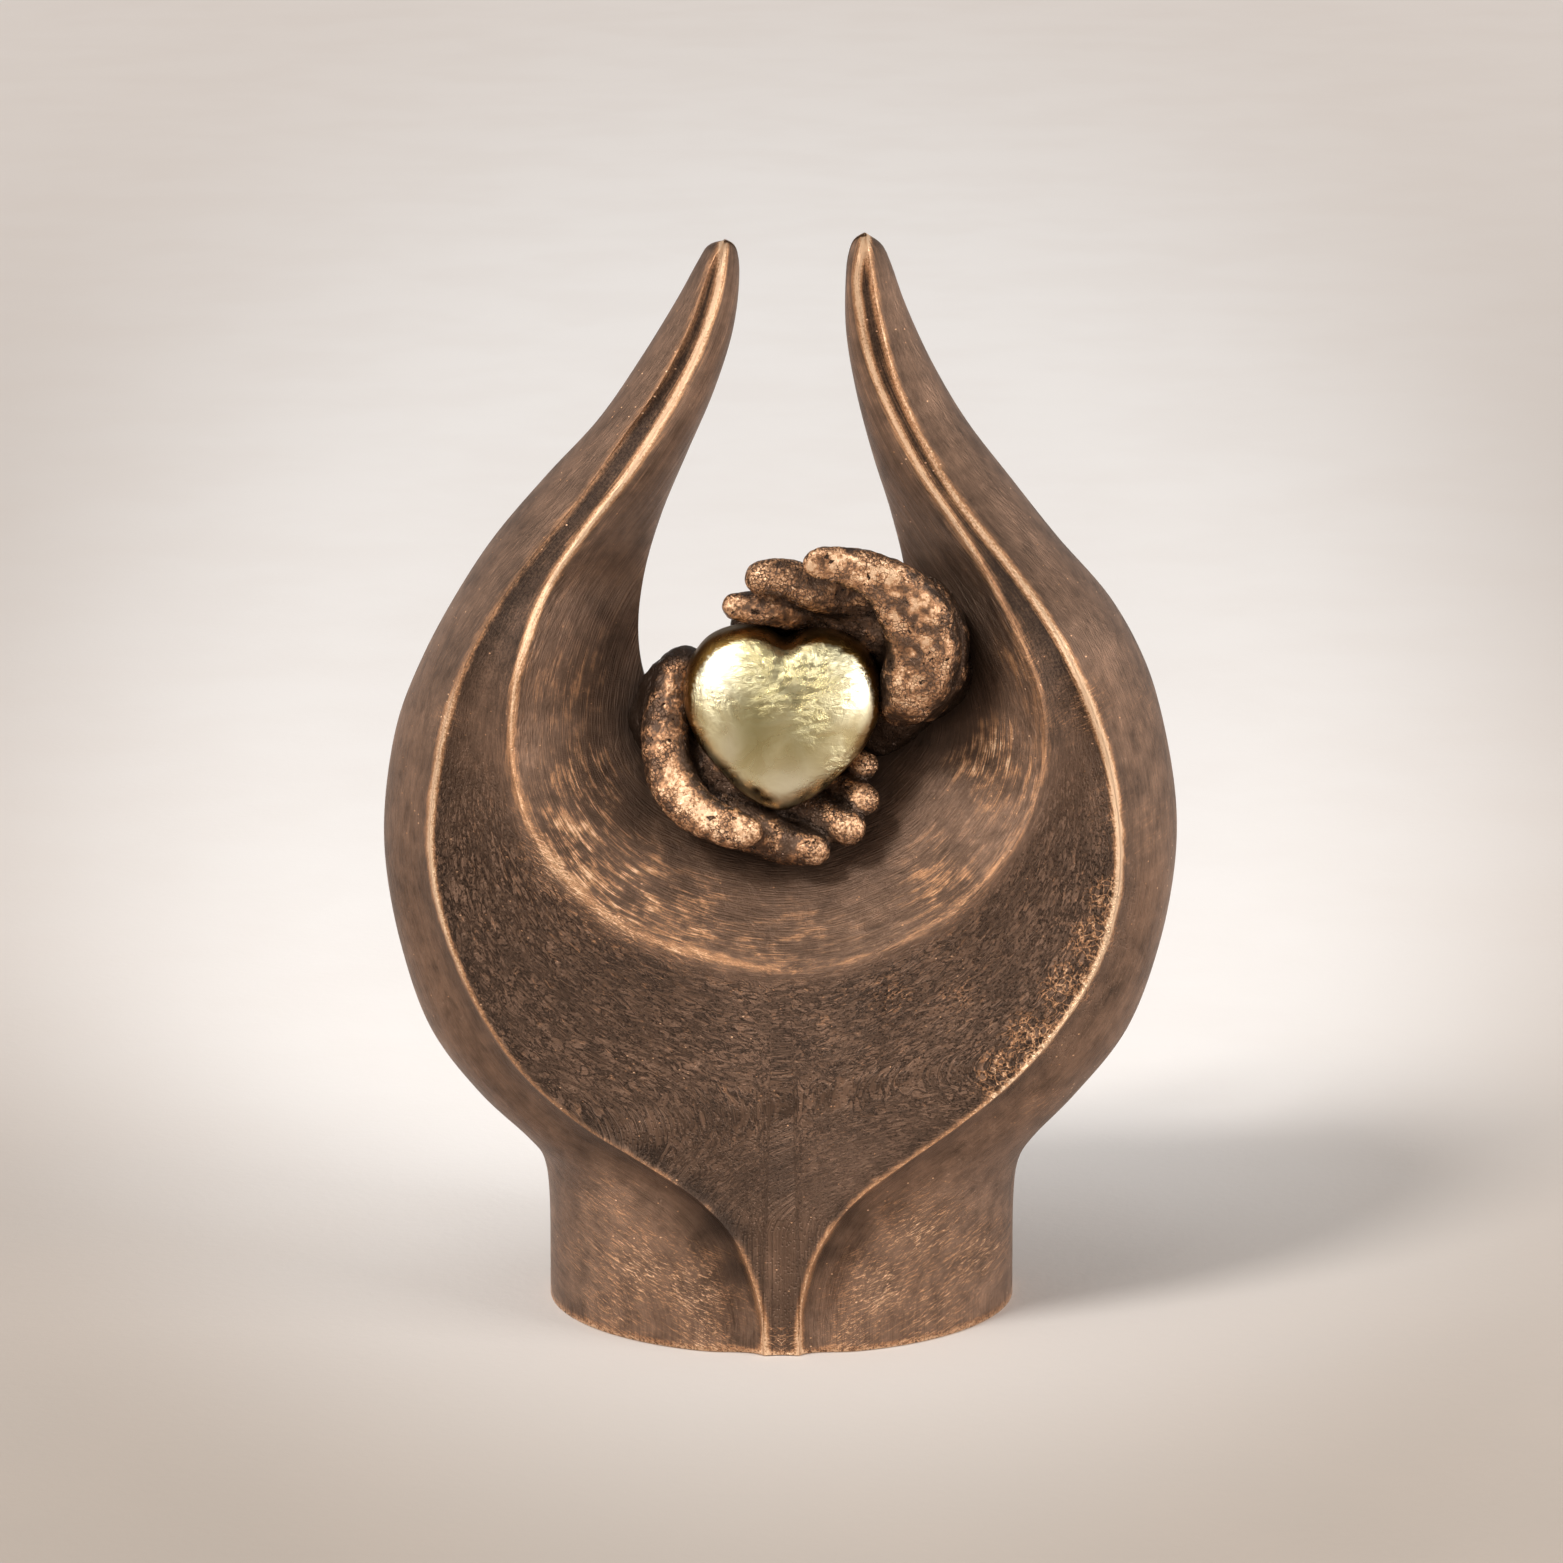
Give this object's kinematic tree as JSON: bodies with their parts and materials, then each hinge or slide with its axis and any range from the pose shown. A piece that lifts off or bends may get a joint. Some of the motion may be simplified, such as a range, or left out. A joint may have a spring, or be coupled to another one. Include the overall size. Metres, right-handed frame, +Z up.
{
  "type": "hands holding heart sculpture",
  "caption": "Free-standing bronze-finish sculpture: two curved wings rising from an oval foot around cupped hands that hold a gilded heart.",
  "frame": {"origin": "middle of the foot's oval underside, on the surface that the sculpture stands on", "axes": "+Z up, the front with the heart faces -Y, +X to the viewer's right"},
  "size_m": [0.2184, 0.1196, 0.3],
  "materials": {
    "bronze_patina": "dark bronze patina with copper worn on the ridges, satin",
    "gilding": "pale gold leaf, polished and slightly wrinkled"
  },
  "bodies": {
    "root": {"sculpture_body": "bronze_patina", "heart": "gilding"}
  },
  "joints": []
}
